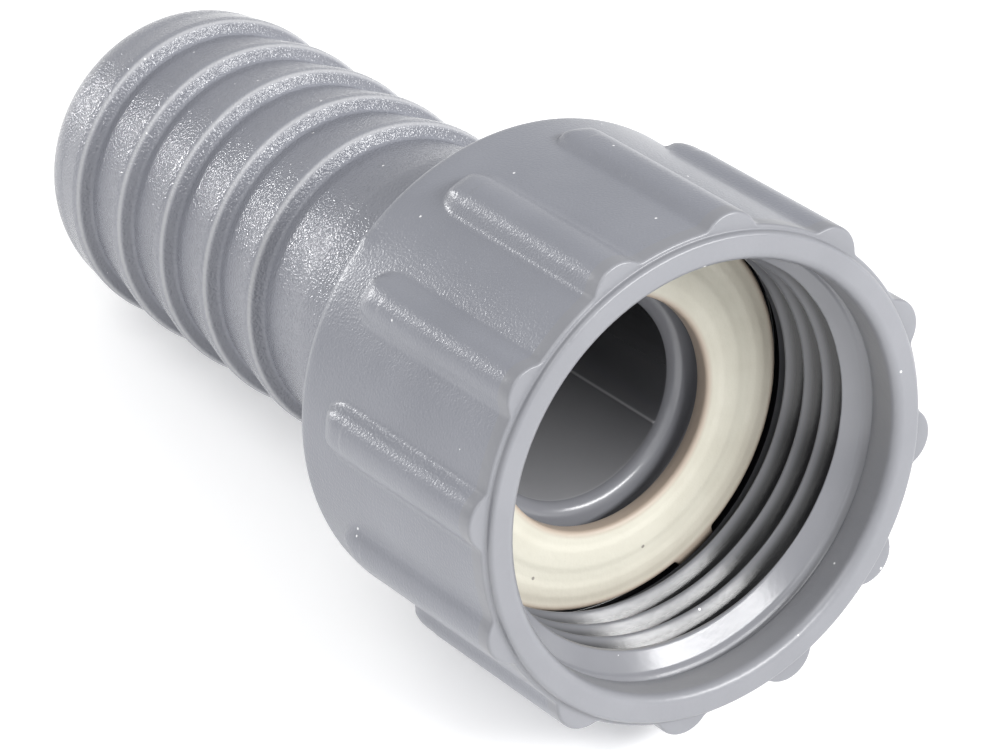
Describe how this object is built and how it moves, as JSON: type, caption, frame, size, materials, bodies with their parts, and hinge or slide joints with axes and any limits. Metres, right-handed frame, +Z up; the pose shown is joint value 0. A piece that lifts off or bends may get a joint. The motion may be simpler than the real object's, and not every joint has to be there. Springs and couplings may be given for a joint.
{
  "type": "swivel hose tail connector",
  "caption": "Swivel union nut with grip ribs and a female pipe thread, turning freely on a barbed hose tail and sealed by a flat ring washer.",
  "frame": {"origin": "middle of the pipe thread in the nut, on the swivel axis", "axes": "+Z up, the part lying on two grip ribs and its last barb; -Y is the side that the mouth faces, with the axis tilted 7.63 degrees so that the mouth looks slightly upwards; +X to the right of one who looks along +Y"},
  "size_m": [0.0318, 0.0645, 0.0334],
  "materials": {
    "grey_plastic": "fine spark-eroded texture with a satin sheen",
    "cream_rubber": "smooth, soft sheen"
  },
  "bodies": {
    "tail": {"hose_tail": "grey_plastic"},
    "nut": {"union_nut": "grey_plastic", "washer": "cream_rubber"}
  },
  "joints": [
    {"name": "nut_swivel", "type": "hinge", "parent": "tail", "child": "nut", "pos_m": [0, 0, 0], "axis": [0, -0.9911, 0.1328], "continuous": true}
  ]
}
